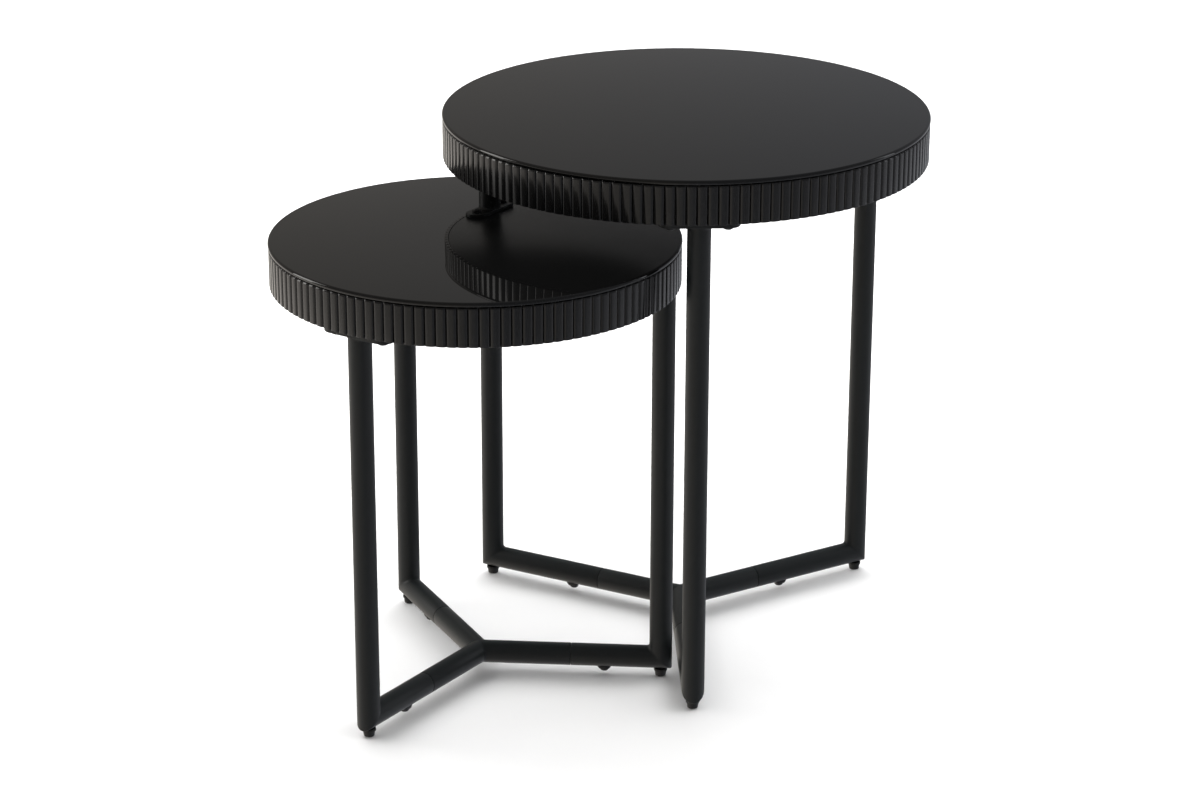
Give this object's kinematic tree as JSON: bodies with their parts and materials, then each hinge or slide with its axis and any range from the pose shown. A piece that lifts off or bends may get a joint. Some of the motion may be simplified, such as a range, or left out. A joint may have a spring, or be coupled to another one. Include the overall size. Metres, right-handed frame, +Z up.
{
  "type": "nesting tables",
  "caption": "Pair of round nesting side tables: glass tops on reeded rims and tube legs that join in a Y at the floor; the small one slides out from under the tall one.",
  "frame": {"origin": "on the floor, under the middle of the two tops' joint outline, with the tables as they stand nested", "axes": "+Z up; +X along the longer side of the pair, from the small table towards the tall one; +Y towards the back, the tall table standing behind the small one"},
  "size_m": [0.6674, 0.5986, 0.564],
  "materials": {
    "black_glass": "black tempered glass, polished, opaque",
    "reeded_rim": "satin black, smooth moulded reeds",
    "black_board": "board with a black backing",
    "powder_coat": "satin charcoal-black powder coat on steel tube",
    "black_hardware": "black-finished steel",
    "foot_pad": "matt black moulded plastic on a threaded steel stud"
  },
  "bodies": {
    "tall_table": {"tall_glass_top": "black_glass", "tall_fluted_rim": "reeded_rim", "tall_top_board": "black_board", "tall_hub": "powder_coat", "tall_leg_post_1": "powder_coat", "tall_foot_rail_1": "powder_coat", "tall_mounting_plate_1": "powder_coat", "tall_rail_bolt_1": "black_hardware", "tall_saddle_washer_1": "black_hardware", "tall_plate_screw_1a": "black_hardware", "tall_plate_screw_1b": "black_hardware", "tall_leg_post_2": "powder_coat", "tall_foot_rail_2": "powder_coat", "tall_mounting_plate_2": "powder_coat", "tall_rail_bolt_2": "black_hardware", "tall_saddle_washer_2": "black_hardware", "tall_plate_screw_2a": "black_hardware", "tall_plate_screw_2b": "black_hardware", "tall_leg_post_3": "powder_coat", "tall_foot_rail_3": "powder_coat", "tall_mounting_plate_3": "powder_coat", "tall_rail_bolt_3": "black_hardware", "tall_saddle_washer_3": "black_hardware", "tall_plate_screw_3a": "black_hardware", "tall_plate_screw_3b": "black_hardware"},
    "tall_levelling_foot_1": {"tall_levelling_foot_1": "foot_pad"},
    "tall_levelling_foot_2": {"tall_levelling_foot_2": "foot_pad"},
    "tall_levelling_foot_3": {"tall_levelling_foot_3": "foot_pad"},
    "small_table": {"small_glass_top": "black_glass", "small_fluted_rim": "reeded_rim", "small_top_board": "black_board", "small_hub": "powder_coat", "small_leg_post_1": "powder_coat", "small_foot_rail_1": "powder_coat", "small_mounting_plate_1": "powder_coat", "small_rail_bolt_1": "black_hardware", "small_saddle_washer_1": "black_hardware", "small_plate_screw_1a": "black_hardware", "small_plate_screw_1b": "black_hardware", "small_leg_post_2": "powder_coat", "small_foot_rail_2": "powder_coat", "small_mounting_plate_2": "powder_coat", "small_rail_bolt_2": "black_hardware", "small_saddle_washer_2": "black_hardware", "small_plate_screw_2a": "black_hardware", "small_plate_screw_2b": "black_hardware", "small_leg_post_3": "powder_coat", "small_foot_rail_3": "powder_coat", "small_mounting_plate_3": "powder_coat", "small_rail_bolt_3": "black_hardware", "small_saddle_washer_3": "black_hardware", "small_plate_screw_3a": "black_hardware", "small_plate_screw_3b": "black_hardware"},
    "small_levelling_foot_1": {"small_levelling_foot_1": "foot_pad"},
    "small_levelling_foot_2": {"small_levelling_foot_2": "foot_pad"},
    "small_levelling_foot_3": {"small_levelling_foot_3": "foot_pad"}
  },
  "joints": [
    {"name": "small_table_slide", "type": "slide", "parent": "tall_table", "child": "small_table", "axis": [-0.829, -0.5592, 0], "range_m": [-0.005, 0.25]},
    {"name": "tall_foot_1_adjust", "type": "slide", "parent": "tall_table", "child": "tall_levelling_foot_1", "axis": [0, 0, -1], "range_m": [0, 0.006]},
    {"name": "tall_foot_2_adjust", "type": "slide", "parent": "tall_table", "child": "tall_levelling_foot_2", "axis": [0, 0, -1], "range_m": [0, 0.006]},
    {"name": "tall_foot_3_adjust", "type": "slide", "parent": "tall_table", "child": "tall_levelling_foot_3", "axis": [0, 0, -1], "range_m": [0, 0.006]},
    {"name": "small_foot_1_adjust", "type": "slide", "parent": "small_table", "child": "small_levelling_foot_1", "axis": [0, 0, -1], "range_m": [0, 0.006]},
    {"name": "small_foot_2_adjust", "type": "slide", "parent": "small_table", "child": "small_levelling_foot_2", "axis": [0, 0, -1], "range_m": [0, 0.006]},
    {"name": "small_foot_3_adjust", "type": "slide", "parent": "small_table", "child": "small_levelling_foot_3", "axis": [0, 0, -1], "range_m": [0, 0.006]}
  ]
}
